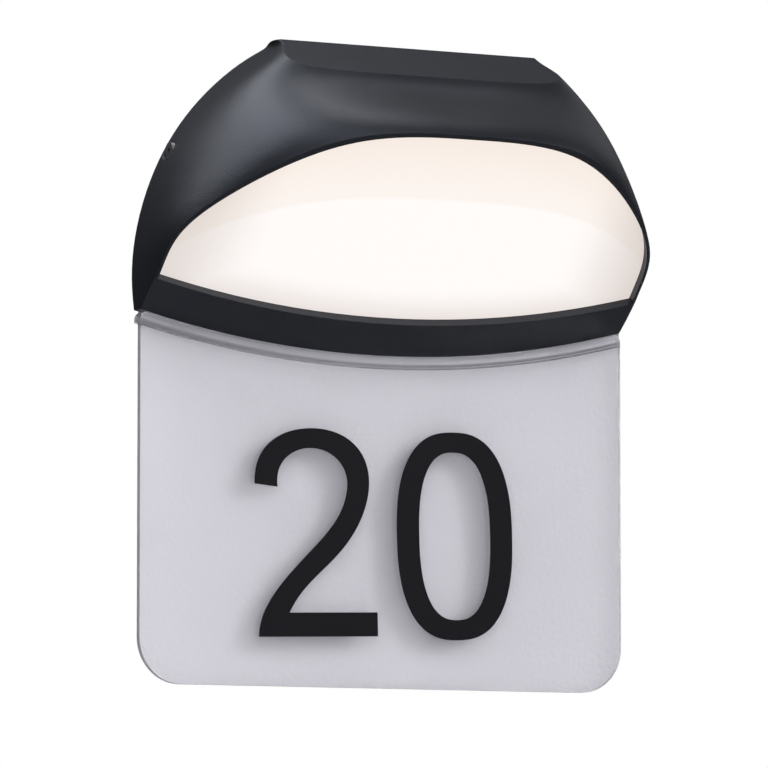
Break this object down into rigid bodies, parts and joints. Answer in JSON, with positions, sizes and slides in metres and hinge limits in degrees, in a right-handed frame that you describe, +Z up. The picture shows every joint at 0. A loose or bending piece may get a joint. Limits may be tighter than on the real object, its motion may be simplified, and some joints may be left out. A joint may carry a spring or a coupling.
{
  "type": "illuminated house number sign",
  "caption": "Wall-mounted outdoor light with a cast eyelid hood, an opal lit face and a clear hanging plate with house numerals.",
  "frame": {"origin": "middle between the wall bracket's two wall screw holes, on the wall plane", "axes": "+X to the viewer's right, +Y into the wall, +Z up; the sign's front faces -Y"},
  "size_m": [0.2388, 0.0924, 0.2796],
  "materials": {
    "powder_coat": "fine-textured anthracite powder coat",
    "foam": "closed-cell foam",
    "opal": "satin opal, lit from behind",
    "silicone": "matt silicone",
    "tray_white": "satin white paint",
    "board_white": "white solder mask",
    "led": "phosphor in a clear cap",
    "zinc_screw": "zinc-plated",
    "driver_case": "moulded white plastic",
    "terminal_white": "moulded plastic",
    "lead_brown": "PVC insulation",
    "lead_red": "PVC insulation",
    "nylon_black": "moulded nylon",
    "stainless": "bright stainless steel",
    "clear_acrylic": "clear polished acrylic",
    "numeral_black": "satin black sheet",
    "bracket_steel": "zinc-plated pressed steel",
    "bush_rubber": "moulded rubber",
    "brass_screw": "plain brass"
  },
  "bodies": {
    "bracket": {"wall_bracket": "bracket_steel", "cable_bush": "bush_rubber", "earth_washer": "zinc_screw", "earth_screw": "brass_screw"},
    "head": {"housing": "powder_coat", "wall_gasket": "foam", "diffuser": "opal", "diffuser_gasket": "silicone", "gear_tray": "tray_white", "led_board": "board_white", "led_chips": "led", "board_screws": "zinc_screw", "tray_screws": "zinc_screw", "led_driver": "driver_case", "driver_screws": "zinc_screw", "terminal_block": "terminal_white", "terminal_screws": "zinc_screw", "mains_leads": "lead_brown", "led_leads": "lead_red", "cable_clamp": "nylon_black", "clamp_screws": "zinc_screw", "side_screws": "stainless", "side_nuts": "stainless", "plate_screws": "stainless"},
    "plate": {"number_plate": "clear_acrylic", "numeral_two": "numeral_black", "numeral_zero": "numeral_black"}
  },
  "joints": [
    {"name": "head_removal", "type": "slide", "parent": "bracket", "child": "head", "axis": [0, -1, 0], "range_m": [0, 0.06]},
    {"name": "plate_removal", "type": "slide", "parent": "head", "child": "plate", "axis": [0, 0, -1], "range_m": [0, 0.03]}
  ]
}
